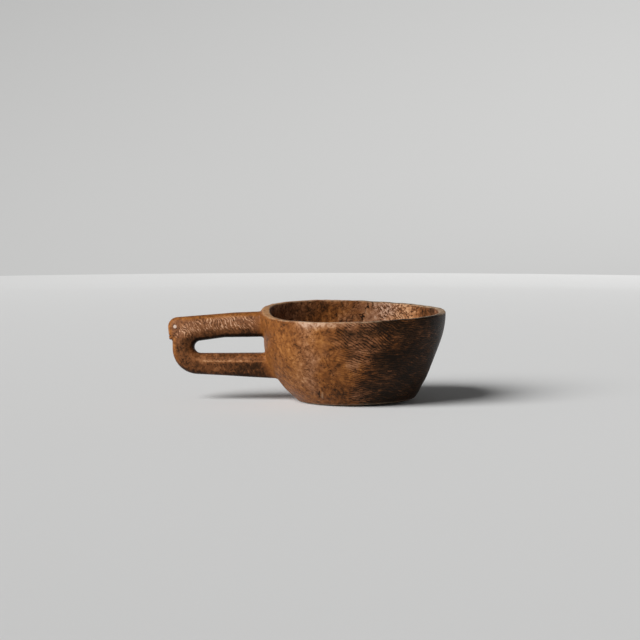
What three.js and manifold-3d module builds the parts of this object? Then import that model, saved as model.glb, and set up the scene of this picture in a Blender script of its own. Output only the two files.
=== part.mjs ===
// A large Nordic scoop (kåsa, the big relative of the kuksa cup), carved from one burl:
// a deep round bowl with a flat base, and a level loop handle with a long finger slot.
// The real object is a single piece of wood. Its regions are modelled as separate solids:
// the bowl, the handle's upper arm, its end post and its lower arm.
//
// Millimetres, +Z up. Origin: centre of the flat underside. The handle points towards -X.

import * as THREE from "three";
import { mergeVertices } from "three/addons/utils/BufferGeometryUtils.js";
import Module from "manifold-3d";

const wasm = await Module();
wasm.setup();

const { lerp, smoothstep } = THREE.MathUtils;

// ---- Bowl, outside ----
const FLAT_RADIUS = 70; // flat underside that the bowl stands on
const BASE_RADIUS = 86.5; // worn edge round the underside
const EDGE_LIFT = 2.6; // mean height of that edge
const EDGE_TILT = 2.5; // the edge is this much higher at +X and lower at the handle
const EDGE_FADE_HEIGHT = 60; // the tilt has faded out at this height
const BOWL_HALF_LENGTH = 133; // along X at the rim
const BOWL_HALF_WIDTH = 125; // along Y at the rim
const BOWL_SHIFT = -4.5; // the body's centre sits this far towards the handle
const SHIFT_HEIGHT = 25; // the shift is complete at this height
const BELLY_LEAN = -5; // the belly leans further towards the handle...
const LEAN_HEIGHT = 56.5; // ...most of all at this height...
const LEAN_SPREAD = 41.5; // ...and less above and below it
const RIM_SHIFT = 2; // the rim's centre comes back this far, away from the handle...
const RIM_SHIFT_HEIGHT = 70; // ...starting at this height
const PLAN_EXPONENT = 2.8; // of the rim: 2 is an ellipse, and more is squarer
const BELLY_LOW = [114, 32]; // Bezier handle (radius, height) above the base
const BELLY_HIGH = [134, 69]; // Bezier handle (radius, height) below the rim

// ---- Rim: its height waves round the bowl ----
const RIM_HEIGHT = 132.3; // mean
const RIM_TOWARDS_BACK = 6.8; // rise at the +Y side
const RIM_TWIST = 2.3; // one quarter high, the next one low
const RIM_RIPPLE = 0.5; // three shallow waves
const RIM_ROUNDING = 2.5; // worn radius on both edges of the flat rim

// ---- Bowl, inside ----
const FLOOR_HEIGHT = 13;
const FLOOR_RADIUS = 40; // nearly flat middle of the floor
const INSIDE_RADIUS = 124; // along X at the rim, so the wall is 9 mm thick on average
const INSIDE_SHIFT = -1; // towards the handle, so the wall is a little thinner there
const INSIDE_LOW = [100, 14]; // Bezier handle (radius, height) at the floor
const INSIDE_HIGH = [121, 56]; // Bezier handle (radius, height) below the rim
const CUT_ABOVE_RIM = 30; // the hollow's cutter ends this far above the rim

// ---- Loop handle, seen from the side: X and Z ----
const HANDLE_ROOT_X = -105; // inside the bowl, trimmed by its wall
const HANDLE_END_X = -279; // end of the upper arm
const UPPER_TOP_ROOT_Z = 132.5;
const UPPER_BEND_X = -180; // the upper arm's top dips a little outside this
const UPPER_TOP_BEND_Z = 130;
const UPPER_TOP_END_Z = 123.3;
const UPPER_END_ROUNDING = 15; // worn upper end
const LIP_Z = 89; // underside of the small lip that overhangs the end post
const LIP_TAPER = 2; // the end leans in this much from its widest point to the lip
const POST_OUTER_X = -272.5;
const LOWER_BOTTOM_ROOT_Z = 31.5;
const LOWER_BOTTOM_END_Z = 38;
const END_CORNER = 40; // size of the big rounded lower corner
const CORNER_PULL = 0.42; // 0 is a square corner, 1 a straight cut
const SLOT_BOTTOM_Z = 69.5;
const SLOT_TOP_END_Z = 88;
const SLOT_BEND_X = -195; // the slot's top rises to its full height by here
const SLOT_TOP_BEND_Z = 93;
const SLOT_TOP_ROOT_Z = 94.8;
const SLOT_END_X = -239.5;
const HANDLE_WIDTH = 36; // across, along Y
const HANDLE_ROUNDING = 12; // worn edges of the arms
const ROOT_SPREAD = 0.25; // extra width share where the arms meet the bowl
const SPREAD_LENGTH = 70; // the arms start to spread this far out from the bowl

// ---- Where the carving is divided ----
const GAP = 0.3; // between neighbouring solids
const UPPER_CUT_Z = 85.5; // upper arm above, end post below
const LOWER_CUT_X = -232; // end post towards -X, lower arm towards the bowl
const BEYOND = 500; // outside the whole object on every side

// ---- Fineness ----
const ROUND_SEGMENTS = 72;
const WALL_STEPS = 12;
const ROUNDING_STEPS = 3;
const WELD = 1e-4; // vertices nearer than this are one

const BURL_WOOD = { color: 0x8a5228, roughness: 0.55, metalness: 0 };
const GRIPPED_WOOD = { color: 0x6b4229, roughness: 0.5, metalness: 0 };

// A geometry with positions only, its shared vertices merged.
function welded(geometry) {
  const bare = geometry.clone();
  bare.deleteAttribute("normal");
  bare.deleteAttribute("uv");
  return mergeVertices(bare, WELD);
}

// A closed mesh as a solid.
function solidOf(geometry) {
  const closed = welded(geometry);
  return new wasm.Manifold(
    new wasm.Mesh({
      numProp: 3,
      vertProperties: new Float32Array(closed.attributes.position.array),
      triVerts: new Uint32Array(closed.index.array),
    }),
  );
}

// A solid as a named mesh with its own material.
function meshOf(solid, name, look) {
  const result = solid.getMesh();
  const geometry = new THREE.BufferGeometry();
  geometry.setAttribute("position", new THREE.BufferAttribute(result.vertProperties, 3));
  geometry.setIndex(new THREE.BufferAttribute(result.triVerts, 1));
  geometry.computeVertexNormals();
  const mesh = new THREE.Mesh(geometry, new THREE.MeshStandardMaterial(look));
  mesh.name = name;
  return mesh;
}

// A closed box between two corners, as a solid.
function blockOf(low, high) {
  const size = high.map((value, i) => value - low[i]);
  const middle = high.map((value, i) => (value + low[i]) / 2);
  return solidOf(new THREE.BoxGeometry(...size).translate(...middle));
}

// Rim height above the underside at an angle round the bowl: 0 at +X, a quarter turn at +Y.
function rimHeight(angle) {
  const towardsBack = RIM_TOWARDS_BACK * Math.sin(angle);
  const twist = RIM_TWIST * Math.sin(2 * angle);
  const ripple = RIM_RIPPLE * Math.sin(3 * angle);
  return RIM_HEIGHT + towardsBack - twist - ripple;
}

// Radius of the unit superellipse in a direction.
function planRadius(angle) {
  const c = Math.abs(Math.cos(angle)) ** PLAN_EXPONENT;
  const s = Math.abs(Math.sin(angle)) ** PLAN_EXPONENT;
  return (c + s) ** (-1 / PLAN_EXPONENT);
}

// How far the bowl's centre is moved along X at a height.
function centreShift(height, full) {
  const lean = BELLY_LEAN * Math.exp(-(((height - LEAN_HEIGHT) / LEAN_SPREAD) ** 2));
  const back = RIM_SHIFT * smoothstep(height, RIM_SHIFT_HEIGHT, RIM_HEIGHT);
  return full * smoothstep(height, 0, SHIFT_HEIGHT) + lean * smoothstep(height, 0, LEAN_HEIGHT) + back;
}

// Turns a round, level body into the bowl's real form: round at the base, slightly square and
// narrower across at the rim, moved towards the handle, with the rim's wave and a tilted base edge.
function warpBowl(geometry, shiftX) {
  const position = geometry.attributes.position;
  const narrow = BOWL_HALF_WIDTH / BOWL_HALF_LENGTH;
  for (let i = 0; i < position.count; i++) {
    const [x, y, z] = [position.getX(i), position.getY(i), position.getZ(i)];
    const angle = Math.atan2(y, x);
    const radius = Math.hypot(x, y);
    const level = smoothstep(z, 0, RIM_HEIGHT);
    const swell = lerp(1, planRadius(angle), level);
    const width = lerp(1, narrow, level);
    const outward = Math.min(1, radius / INSIDE_RADIUS);
    const wave = (rimHeight(angle) - RIM_HEIGHT) * (z / RIM_HEIGHT) ** 2 * outward;
    const nearEdge = smoothstep(radius, FLAT_RADIUS, BASE_RADIUS);
    const tilt = EDGE_TILT * Math.cos(angle) * nearEdge * (1 - smoothstep(z, 0, EDGE_FADE_HEIGHT));
    const shift = centreShift(z, shiftX);
    position.setXYZ(i, x * swell + shift, y * swell * width, z + wave + tilt);
  }
  return geometry;
}

// A body turned about Z from a profile of (radius, height) that starts and ends on the axis.
// Its seam is merged here, before anything bends it.
function turned(profile) {
  return welded(new THREE.LatheGeometry(profile, ROUND_SEGMENTS).rotateX(Math.PI / 2));
}

// A quarter-round stretch of a profile, from one angle to another.
function rounding(radius, height, size, from, to) {
  const arc = new THREE.EllipseCurve(radius, height, size, size, from, to, to < from);
  return arc.getPoints(ROUNDING_STEPS);
}

// The outer wall's profile, from the base's edge to just under the rim.
function outerWall(grow = 0) {
  const curve = new THREE.CubicBezierCurve(
    new THREE.Vector2(BASE_RADIUS + grow, EDGE_LIFT),
    new THREE.Vector2(BELLY_LOW[0] + grow, BELLY_LOW[1]),
    new THREE.Vector2(BELLY_HIGH[0] + grow, BELLY_HIGH[1]),
    new THREE.Vector2(BOWL_HALF_LENGTH + grow, RIM_HEIGHT - RIM_ROUNDING),
  );
  return curve.getPoints(WALL_STEPS);
}

// The bowl's outer body, solid through.
function bowlBody() {
  const edge = BOWL_HALF_LENGTH - RIM_ROUNDING;
  const profile = [
    new THREE.Vector2(0, 0),
    new THREE.Vector2(FLAT_RADIUS, 0),
    ...outerWall(),
    ...rounding(edge, RIM_HEIGHT - RIM_ROUNDING, RIM_ROUNDING, 0, Math.PI / 2).slice(1),
    new THREE.Vector2(0, RIM_HEIGHT),
  ];
  return solidOf(warpBowl(turned(profile), BOWL_SHIFT));
}

// What the handle is trimmed by: the same body with a clear gap all round, carried upwards.
function handleTrimmer() {
  const profile = [
    new THREE.Vector2(0, 0),
    new THREE.Vector2(FLAT_RADIUS, 0),
    ...outerWall(GAP),
    new THREE.Vector2(BOWL_HALF_LENGTH + GAP, RIM_HEIGHT + CUT_ABOVE_RIM),
    new THREE.Vector2(0, RIM_HEIGHT + CUT_ABOVE_RIM),
  ];
  return solidOf(warpBowl(turned(profile), BOWL_SHIFT));
}

// The hollow, as a cutter that flares over the rim's inner edge and goes on upwards.
function bowlHollow() {
  const edge = INSIDE_RADIUS + RIM_ROUNDING;
  const wall = new THREE.CubicBezierCurve(
    new THREE.Vector2(FLOOR_RADIUS, FLOOR_HEIGHT),
    new THREE.Vector2(...INSIDE_LOW),
    new THREE.Vector2(...INSIDE_HIGH),
    new THREE.Vector2(INSIDE_RADIUS, RIM_HEIGHT - RIM_ROUNDING),
  );
  const profile = [
    new THREE.Vector2(0, FLOOR_HEIGHT),
    ...wall.getPoints(WALL_STEPS),
    ...rounding(edge, RIM_HEIGHT - RIM_ROUNDING, RIM_ROUNDING, Math.PI, Math.PI / 2).slice(1),
    new THREE.Vector2(edge, RIM_HEIGHT + CUT_ABOVE_RIM),
    new THREE.Vector2(0, RIM_HEIGHT + CUT_ABOVE_RIM),
  ];
  return solidOf(warpBowl(turned(profile), BOWL_SHIFT + INSIDE_SHIFT));
}

function bowl() {
  return meshOf(bowlBody().subtract(bowlHollow()), "bowl", BURL_WOOD);
}

// Side outline of the whole loop, with the finger slot open at the bowl's end.
function handleOutline() {
  const slotMiddleZ = (SLOT_BOTTOM_Z + SLOT_TOP_END_Z) / 2;
  const slotRadius = (SLOT_TOP_END_Z - SLOT_BOTTOM_Z) / 2;
  const slotArcX = SLOT_END_X + slotRadius;
  const cornerPull = END_CORNER * CORNER_PULL;
  const outline = new THREE.Shape();
  outline.moveTo(HANDLE_ROOT_X, UPPER_TOP_ROOT_Z);
  outline.lineTo(UPPER_BEND_X, UPPER_TOP_BEND_Z);
  outline.absarc(
    HANDLE_END_X + UPPER_END_ROUNDING,
    UPPER_TOP_END_Z - UPPER_END_ROUNDING,
    UPPER_END_ROUNDING,
    Math.PI / 2,
    Math.PI,
    false,
  );
  outline.lineTo(HANDLE_END_X + LIP_TAPER, LIP_Z);
  outline.lineTo(POST_OUTER_X, LIP_Z);
  outline.lineTo(POST_OUTER_X, LOWER_BOTTOM_END_Z + END_CORNER);
  outline.bezierCurveTo(
    POST_OUTER_X,
    LOWER_BOTTOM_END_Z + cornerPull,
    POST_OUTER_X + cornerPull,
    LOWER_BOTTOM_END_Z,
    POST_OUTER_X + END_CORNER,
    LOWER_BOTTOM_END_Z,
  );
  outline.lineTo(HANDLE_ROOT_X, LOWER_BOTTOM_ROOT_Z);
  outline.lineTo(HANDLE_ROOT_X, SLOT_BOTTOM_Z);
  outline.absarc(slotArcX, slotMiddleZ, slotRadius, -Math.PI / 2, Math.PI / 2, true);
  outline.lineTo(SLOT_BEND_X, SLOT_TOP_BEND_Z);
  outline.lineTo(HANDLE_ROOT_X, SLOT_TOP_ROOT_Z);
  return outline;
}

// The whole loop as one solid, its edges rounded, spread where it meets the bowl.
function handleLoop() {
  const geometry = new THREE.ExtrudeGeometry(handleOutline(), {
    depth: HANDLE_WIDTH - 2 * HANDLE_ROUNDING,
    curveSegments: 6,
    bevelEnabled: true,
    bevelThickness: HANDLE_ROUNDING,
    bevelSize: HANDLE_ROUNDING,
    bevelOffset: -HANDLE_ROUNDING,
    bevelSegments: 4,
  });
  geometry.translate(0, 0, HANDLE_ROUNDING - HANDLE_WIDTH / 2).rotateX(Math.PI / 2);
  const position = geometry.attributes.position;
  const bowlSideX = BOWL_SHIFT - BOWL_HALF_LENGTH;
  for (let i = 0; i < position.count; i++) {
    const nearness = smoothstep(
      position.getX(i),
      bowlSideX - SPREAD_LENGTH,
      bowlSideX,
    );
    position.setY(i, position.getY(i) * (1 + ROOT_SPREAD * nearness));
  }
  return solidOf(geometry);
}

// The loop, trimmed by the bowl and divided into its upper arm, end post and lower arm.
function handleMembers() {
  const loop = handleLoop().subtract(handleTrimmer());
  const half = GAP / 2;
  const upper = blockOf([-BEYOND, -BEYOND, UPPER_CUT_Z + half], [BEYOND, BEYOND, BEYOND]);
  const end = blockOf(
    [-BEYOND, -BEYOND, -BEYOND],
    [LOWER_CUT_X - half, BEYOND, UPPER_CUT_Z - half],
  );
  const lower = blockOf(
    [LOWER_CUT_X + half, -BEYOND, -BEYOND],
    [BEYOND, BEYOND, UPPER_CUT_Z - half],
  );
  return [
    meshOf(loop.intersect(upper), "handle_upper_arm", GRIPPED_WOOD),
    meshOf(loop.intersect(end), "handle_end_post", GRIPPED_WOOD),
    meshOf(loop.intersect(lower), "handle_lower_arm", GRIPPED_WOOD),
  ];
}

const scoop = new THREE.Group();
scoop.add(bowl(), ...handleMembers());

export default scoop;
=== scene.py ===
"""A large Nordic scoop of the kuksa kind, carved from one burl: its finished surface, wood and light.

The carving is one continuous piece of wood, so one seamless mesh stands for every CAD region.
It is sculpted as a distance field, with soft fillets, knife facets and worn edges, and then meshed.
Sculpting lengths are in millimetres, in the CAD frame: +Z up, the handle towards -X.
"""

import math
from types import SimpleNamespace

import bmesh
import bpy
import numpy as np
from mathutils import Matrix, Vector


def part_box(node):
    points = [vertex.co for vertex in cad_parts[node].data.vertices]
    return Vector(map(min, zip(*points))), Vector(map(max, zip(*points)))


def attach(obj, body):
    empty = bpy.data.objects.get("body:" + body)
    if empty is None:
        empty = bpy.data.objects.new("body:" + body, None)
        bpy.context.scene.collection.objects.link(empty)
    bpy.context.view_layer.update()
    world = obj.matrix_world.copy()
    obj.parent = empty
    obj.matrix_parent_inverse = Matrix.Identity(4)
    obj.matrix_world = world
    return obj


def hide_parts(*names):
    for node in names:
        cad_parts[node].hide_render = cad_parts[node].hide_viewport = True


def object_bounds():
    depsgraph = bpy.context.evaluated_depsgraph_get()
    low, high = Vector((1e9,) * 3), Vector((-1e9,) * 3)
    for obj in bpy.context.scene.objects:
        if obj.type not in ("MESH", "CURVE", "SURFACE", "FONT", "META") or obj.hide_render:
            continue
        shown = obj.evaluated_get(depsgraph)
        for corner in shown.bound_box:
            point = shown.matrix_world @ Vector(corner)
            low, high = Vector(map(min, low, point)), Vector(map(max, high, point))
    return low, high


MM = 0.001

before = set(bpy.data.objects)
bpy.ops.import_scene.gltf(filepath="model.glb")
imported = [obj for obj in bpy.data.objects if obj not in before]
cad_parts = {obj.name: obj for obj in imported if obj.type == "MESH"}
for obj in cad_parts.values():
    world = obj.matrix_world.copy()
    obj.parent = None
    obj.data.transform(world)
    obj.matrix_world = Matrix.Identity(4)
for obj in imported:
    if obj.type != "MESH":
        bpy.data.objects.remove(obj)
cad_low, cad_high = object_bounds()
ARM_LOW = np.array(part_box("handle_upper_arm")[0]) / MM
POST_LOW = np.array(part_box("handle_end_post")[0]) / MM

# ---- Bowl: the CAD's own curves ----
FLAT_RADIUS = 70  # of the underside that the cup stands on
BASE_RADIUS = 86.5  # of the edge round it
EDGE_LIFT = 2.6  # the edge is this far off the table...
EDGE_TILT = 2.5  # ...and this much more on the side away from the handle, as much less by it
EDGE_FADE_HEIGHT = 60
BOWL_HALF_LENGTH = 133
BOWL_HALF_WIDTH = 125
BOWL_SHIFT = -4.5  # the wall stands this far along X from the base's middle
SHIFT_HEIGHT = 25
BELLY_LEAN = -5  # the belly leans towards the handle by this much
LEAN_HEIGHT = 56.5
LEAN_SPREAD = 41.5
RIM_SHIFT = 2  # and the rim away from it
RIM_SHIFT_HEIGHT = 70
PLAN_EXPONENT = 2.8  # squareness of the rim seen from above: 2 is an ellipse
BENDING_ROUNDS = 3  # each one brings the level height closer
BELLY_LOW = (114, 32)  # what pulls the outside's curve: radius and height
BELLY_HIGH = (134, 69)
RIM_HEIGHT = 132.3
CURVE_END_DROP = 2.5  # the wall's curves end this far under the rim, and go on straight
RIM_TOWARDS_BACK = 6.8  # how much higher the rim is at +Y
RIM_TWIST = 2.3
RIM_RIPPLE = 0.5
FLOOR_HEIGHT = 13
FLOOR_RADIUS = 40
INSIDE_RADIUS = 124
FLARE_ABOVE = 0.5  # how much wider the hollow is at the field's top
INSIDE_SHIFT = -1
INSIDE_LOW = (100, 14)  # what pulls the hollow's curve
INSIDE_HIGH = (121, 56)
FIELD_TOP = 175  # the bowl's section is carried up to here, and the rim cuts it off
BEYOND_AXIS = -200  # where the bowl's sections are closed, past the axis
SECTION_LOW, SECTION_HIGH = (0, -10), (170, FIELD_TOP)  # what the bowl's distance tables cover

# ---- Handle, seen from the side ----
HANDLE_ROOT_X = -105
HANDLE_END_X = ARM_LOW[0]
UPPER_TOP_ROOT_Z = 132.5
UPPER_BEND_X = -180
UPPER_TOP_BEND_Z = 130
UPPER_TOP_END_Z = 123.3
UPPER_END_ROUNDING = 15
LIP_Z = 89
LIP_TAPER = 2
POST_OUTER_X = POST_LOW[0]
LOWER_BOTTOM_ROOT_Z = 31.5
LOWER_BOTTOM_END_Z = POST_LOW[2]
END_CORNER = 40
CORNER_PULL = 0.42
SLOT_BOTTOM_Z = 69.5
SLOT_TOP_END_Z = 88
SLOT_BEND_X = -195
SLOT_TOP_BEND_Z = 93
SLOT_TOP_ROOT_Z = 94.8
SLOT_END_X = -239.5
HANDLE_HALF_WIDTH = 18
ROOT_SPREAD = 0.25
SPREAD_LENGTH = 70
LOOP_LOW, LOOP_HIGH = (-300, 15), (-95, 150)  # what the handle's distance tables cover

# ---- Worn edges, fillets and facets ----
RIM_EDGE = 1.6  # rounding of the rim's two edges
RIM_WOBBLE = 0.22  # unevenness of the knife work along the rim
ROOT_OUT, ROOT_UP = 5.5, 2.4  # the wall is thicker and higher at the rim where the handle joins...
ROOT_SPAN = 0.42  # ...over this angle, in radians, to each side...
ROOT_LOW, ROOT_HIGH = 98, 126  # ...thickening between these heights
ROOT_SOFTENING = 2.5  # and its outer edge is rounder by this much
FAR_UP = 1.2  # the rim is also a little higher opposite the handle
BASE_EDGE = 1.6
ROOT_FILLET = 4  # where the arms flow into the bowl
SIDE_EDGE = 7  # rounding along the handle's outer edges
SLOT_EDGE = 8  # rounding along the finger slot
TOP_FACET = (13, 7)  # sloping facet along the loop's outer edge: its reach inwards and down
UPPER_RIDGE = 17  # the side's ridge runs this far outside the slot along the upper arm...
LOWER_RIDGE = 10.5  # ...and this far along the lower arm
SLOPE_OUT = 0.34  # how fast the sides fall away from the ridge, outwards...
SLOPE_IN = 0.5  # ...and towards the slot
RIDGE_HEIGHTS = (66, 86)  # the ridge changes from one to the other between these heights
RIDGE_SOFTNESS = 4
FACET_EDGE = 3  # rounding between the bar's facets
WAVINESS = 0.3  # hand-carved unevenness of the outside
HOLLOW_WAVINESS = 0.8
LEVEL_UNTIL = (2, 20)  # the waviness of the outside sets in between these heights

# ---- Marks of use ----
# the pale spot at the handle's end is partly a painted glint on a small worn spot
WORN_SPOT_X, WORN_SPOT_Z, WORN_SPOT_RADIUS = -267.7, 109.6, 3.2  # pale worn spot at the handle's end
CHECK = ((-55.5, 13.5), (-54.5, 23.5))  # short drying check low in the front wall
CHECK_HALF_WIDTH = 0.4
CHECK_DEPTH = 2
CHECK_WANDER = 0.4
CHECK_REACH = 6  # it is looked for this far under the outside
STREAK = ((-50.5, 12), (-51.0, 22))  # pale scratch beside it
NOTCH = ((-282, 96.4), (-273.5, 95.6))  # knife line above the lip, round the handle's end
NOTCH_HALF_WIDTH = 1.0
NOTCH_DEPTH = 2.2
NOWHERE_NEAR = 99  # distance to a mark on the object's other side
# Soft patches in the front of the bowl: X, Z, half-width, half-height, and how much paler or darker
PATCHES = [
    (-36, 61, 12, 10, -0.13),
    (-72, 63, 6, 10, -0.08),
    (-17, 84, 10, 7, -0.06),
    (-17, 101, 14, 5, -0.06),
    (18, 99, 24, 11, 0.13),
    (52, 101, 14, 7, 0.09),
    (88, 84, 14, 40, -0.04),
    (20, 75, 14, 8, -0.12),
    (8, 84, 14, 8, 0.13),
    (-10, 59, 12, 10, 0.12),
    (-52, 100, 16, 9, 0.08),
    (-39, 86, 3.5, 2.4, -0.30),
    (-45, 83, 2.4, 3.0, -0.24),
    (-62, 84, 12, 14, 0.07),
    (-20, 30, 22, 9, -0.06),
    # painted light: this last patch brightens the low wall by the handle, as light thrown up from the floor
    (-92, 32, 18, 14, 0.07),
]

# ---- Mesh ----
CELL = 2.2  # grid step of the surface
TABLE_STEP = 0.5  # grid step of a section's distance table
MARGIN = 6  # empty space round the object in the grid
RELAX_ROUNDS = 3
RELAX_SHARE = 0.6  # how far a vertex moves towards its neighbours' mean
PROJECT_ROUNDS = 2
RIM_CUTS = 1
MARK_CUTS = 3
MARK_MARGIN = 2.5  # how far round a groove the mesh is finer
SLOPE_STEP = 0.25
FLATTEST_SLOPE = 0.25  # squared slopes below this are not divided by


def smoothstep(value, low, high):
    """0 up to low, 1 from high on, and smooth between them."""
    t = np.clip((value - low) / (high - low), 0, 1)
    return t * t * (3 - 2 * t)


def bezier(start, pull_start, pull_end, end, steps=28):
    t = np.linspace(0, 1, steps + 1)[:, None]
    a, b, c, d = (np.array(p, float) for p in (start, pull_start, pull_end, end))
    return (1 - t) ** 3 * a + 3 * (1 - t) ** 2 * t * b + 3 * (1 - t) * t**2 * c + t**3 * d


def arc(centre, radius, start, end, steps=16):
    angles = np.linspace(start, end, steps + 1)
    return np.stack([centre[0] + radius * np.cos(angles), centre[1] + radius * np.sin(angles)], 1)


class Section:
    """Signed distance to a closed outline in a plane, negative inside, read from a table."""

    def __init__(self, outline, low, high):
        self.low = np.array(low, float)
        u, v = (np.arange(a, b + TABLE_STEP, TABLE_STEP) for a, b in zip(low, high))
        grid_u, grid_v = np.meshgrid(u, v, indexing="ij")
        nearest = np.full(grid_u.shape, np.inf)
        inside = np.zeros(grid_u.shape, bool)
        for (au, av), (bu, bv) in zip(outline, np.roll(outline, -1, axis=0)):
            eu, ev = bu - au, bv - av
            along = ((grid_u - au) * eu + (grid_v - av) * ev) / max(eu * eu + ev * ev, 1e-9)
            along = np.clip(along, 0, 1)
            gap = np.hypot(grid_u - au - along * eu, grid_v - av - along * ev)
            nearest = np.minimum(nearest, gap)
            if ev:
                crosses = (av > grid_v) != (bv > grid_v)
                inside ^= crosses & (grid_u < au + (grid_v - av) * eu / ev)
        self.table = np.where(inside, -nearest, nearest)

    def at(self, u, v):
        limit_u, limit_v = self.table.shape
        u = np.clip((u - self.low[0]) / TABLE_STEP, 0, limit_u - 1.001)
        v = np.clip((v - self.low[1]) / TABLE_STEP, 0, limit_v - 1.001)
        i, j = u.astype(int), v.astype(int)
        fu, fv = u - i, v - j
        t = self.table
        near = t[i, j] * (1 - fv) + t[i, j + 1] * fv
        far = t[i + 1, j] * (1 - fv) + t[i + 1, j + 1] * fv
        return near * (1 - fu) + far * fu


def soft_minimum(value, softness):
    """The smaller of a value and 0, with the bend between them rounded off."""
    return (value - np.sqrt(value**2 + softness**2)) / 2


def cut(a, b, radius):
    """What lies inside both fields, the edge between them rounded."""
    ua, ub = np.maximum(a + radius, 0), np.maximum(b + radius, 0)
    return np.minimum(np.maximum(a, b), -radius) + np.hypot(ua, ub)


def join(a, b, radius):
    """What lies inside either field, the corner between them filleted."""
    return -cut(-a, -b, radius)


# ---- The bowl as a field ----
def outer_section():
    """The wall's outside: half of the section through the axis, carried on straight above the rim."""
    end = (BOWL_HALF_LENGTH, RIM_HEIGHT - CURVE_END_DROP)
    wall = bezier((BASE_RADIUS, EDGE_LIFT), BELLY_LOW, BELLY_HIGH, end)
    slope = (wall[-1] - wall[-2]) / (wall[-1, 1] - wall[-2, 1])
    top = wall[-1] + slope * (FIELD_TOP - wall[-1, 1])
    outline = [(BEYOND_AXIS, 0), (FLAT_RADIUS, 0), *wall, top, (BEYOND_AXIS, FIELD_TOP)]
    return Section(np.array(outline), SECTION_LOW, SECTION_HIGH)


def hollow_section():
    """The hollow: half of its section through the axis."""
    end = (INSIDE_RADIUS, RIM_HEIGHT - CURVE_END_DROP)
    wall = bezier((FLOOR_RADIUS, FLOOR_HEIGHT), INSIDE_LOW, INSIDE_HIGH, end)
    top = (INSIDE_RADIUS + FLARE_ABOVE, FIELD_TOP)
    outline = [(BEYOND_AXIS, FLOOR_HEIGHT), *wall, top, (BEYOND_AXIS, FIELD_TOP)]
    return Section(np.array(outline), SECTION_LOW, SECTION_HIGH)


def rim_wave(angle):
    """How much higher the rim is at an angle round the bowl."""
    towards_back = RIM_TOWARDS_BACK * np.sin(angle)
    twist = RIM_TWIST * np.sin(2 * angle)
    ripple = RIM_RIPPLE * np.sin(3 * angle)
    return towards_back - twist - ripple


def bowl_shift(height, full_shift):
    """How far the bowl's section has moved along X at a height."""
    shift = full_shift * smoothstep(height, 0, SHIFT_HEIGHT)
    lean = BELLY_LEAN * np.exp(-(((height - LEAN_HEIGHT) / LEAN_SPREAD) ** 2))
    back = RIM_SHIFT * smoothstep(height, RIM_SHIFT_HEIGHT, RIM_HEIGHT)
    return shift + lean * smoothstep(height, 0, LEAN_HEIGHT) + back


def level_coordinates(x, y, z, full_shift):
    """Where a point lies on the round, level bowl that the carved one is bent from."""
    height = z
    for _ in range(BENDING_ROUNDS):
        shift = bowl_shift(height, full_shift)
        level = smoothstep(height, 0, RIM_HEIGHT)
        narrow = 1 + (BOWL_HALF_WIDTH / BOWL_HALF_LENGTH - 1) * level
        along, across = x - shift, y / narrow
        angle = np.arctan2(across, along)
        power = np.abs(np.cos(angle)) ** PLAN_EXPONENT + np.abs(np.sin(angle)) ** PLAN_EXPONENT
        swell = 1 + (power ** (-1 / PLAN_EXPONENT) - 1) * level
        radius = np.hypot(along, across) / swell
        outward = np.minimum(1, radius / INSIDE_RADIUS)
        wave = rim_wave(angle) * (height / RIM_HEIGHT) ** 2 * outward
        near_edge = smoothstep(radius, FLAT_RADIUS, BASE_RADIUS)
        tilt = EDGE_TILT * np.cos(angle) * near_edge * (1 - smoothstep(height, 0, EDGE_FADE_HEIGHT))
        height = z - wave - tilt
    return radius, height, angle


# ---- The handle as a field ----
def loop_outline():
    """The handle's outer outline, seen from the side."""
    corner = LOWER_BOTTOM_END_Z + END_CORNER
    pull = END_CORNER * CORNER_PULL
    end_centre = (HANDLE_END_X + UPPER_END_ROUNDING, UPPER_TOP_END_Z - UPPER_END_ROUNDING)
    return np.array([
        (HANDLE_ROOT_X, UPPER_TOP_ROOT_Z),
        (UPPER_BEND_X, UPPER_TOP_BEND_Z),
        *arc(end_centre, UPPER_END_ROUNDING, math.pi / 2, math.pi),
        (HANDLE_END_X + LIP_TAPER, LIP_Z),
        (POST_OUTER_X, LIP_Z),
        *bezier(
            (POST_OUTER_X, corner),
            (POST_OUTER_X, LOWER_BOTTOM_END_Z + pull),
            (POST_OUTER_X + pull, LOWER_BOTTOM_END_Z),
            (POST_OUTER_X + END_CORNER, LOWER_BOTTOM_END_Z),
        ),
        (HANDLE_ROOT_X, LOWER_BOTTOM_ROOT_Z),
    ])


def slot_outline():
    """The finger slot, seen from the side."""
    radius = (SLOT_TOP_END_Z - SLOT_BOTTOM_Z) / 2
    centre = (SLOT_END_X + radius, SLOT_BOTTOM_Z + radius)
    return np.array([
        (HANDLE_ROOT_X, SLOT_BOTTOM_Z),
        *arc(centre, radius, -math.pi / 2, -3 * math.pi / 2),
        (SLOT_BEND_X, SLOT_TOP_BEND_Z),
        (HANDLE_ROOT_X, SLOT_TOP_ROOT_Z),
    ])


OUTER = outer_section()
HOLLOW = hollow_section()
LOOP = Section(loop_outline(), LOOP_LOW, LOOP_HIGH)
SLOT = Section(slot_outline(), LOOP_LOW, LOOP_HIGH)


def handle_ridge(z):
    """How far outside the finger slot the side's ridge runs, at a height."""
    return LOWER_RIDGE + (UPPER_RIDGE - LOWER_RIDGE) * smoothstep(z, *RIDGE_HEIGHTS)


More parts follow.
